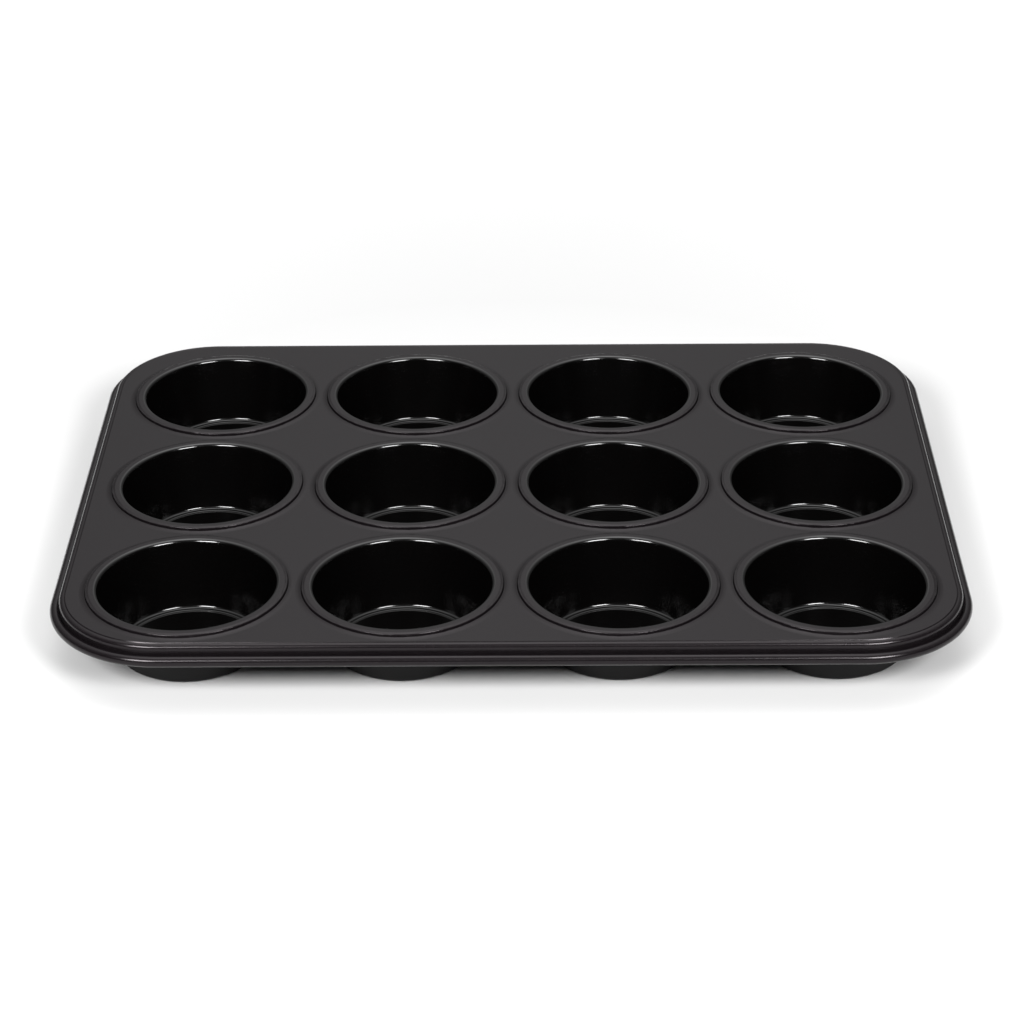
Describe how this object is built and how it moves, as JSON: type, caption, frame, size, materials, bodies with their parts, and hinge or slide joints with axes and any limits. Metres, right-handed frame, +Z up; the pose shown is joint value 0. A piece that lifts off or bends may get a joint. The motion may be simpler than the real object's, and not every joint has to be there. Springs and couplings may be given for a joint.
{
  "type": "muffin tin",
  "caption": "Seamed muffin tin: round tapered cups crimped into a pressed sheet deck with rounded corners and a rolled, wired edge, dark non-stick coating.",
  "frame": {"origin": "centre of the footprint on the standing plane, under the middle of the deck", "axes": "+X along the long side, +Y from the front row of cups to the back row, +Z up out of the cups' mouths"},
  "size_m": [0.358, 0.2734, 0.0284],
  "materials": {
    "deck_coating": "satin charcoal non-stick coating on sheet steel",
    "cup_coating": "semi-gloss charcoal non-stick coating on drawn sheet steel",
    "wire_steel": "plain drawn steel wire"
  },
  "bodies": {
    "root": {"deck": "deck_coating", "rim_wire": "wire_steel", "cup_front_1": "cup_coating", "cup_front_2": "cup_coating", "cup_front_3": "cup_coating", "cup_front_4": "cup_coating", "cup_middle_1": "cup_coating", "cup_middle_2": "cup_coating", "cup_middle_3": "cup_coating", "cup_middle_4": "cup_coating", "cup_back_1": "cup_coating", "cup_back_2": "cup_coating", "cup_back_3": "cup_coating", "cup_back_4": "cup_coating"}
  },
  "joints": []
}
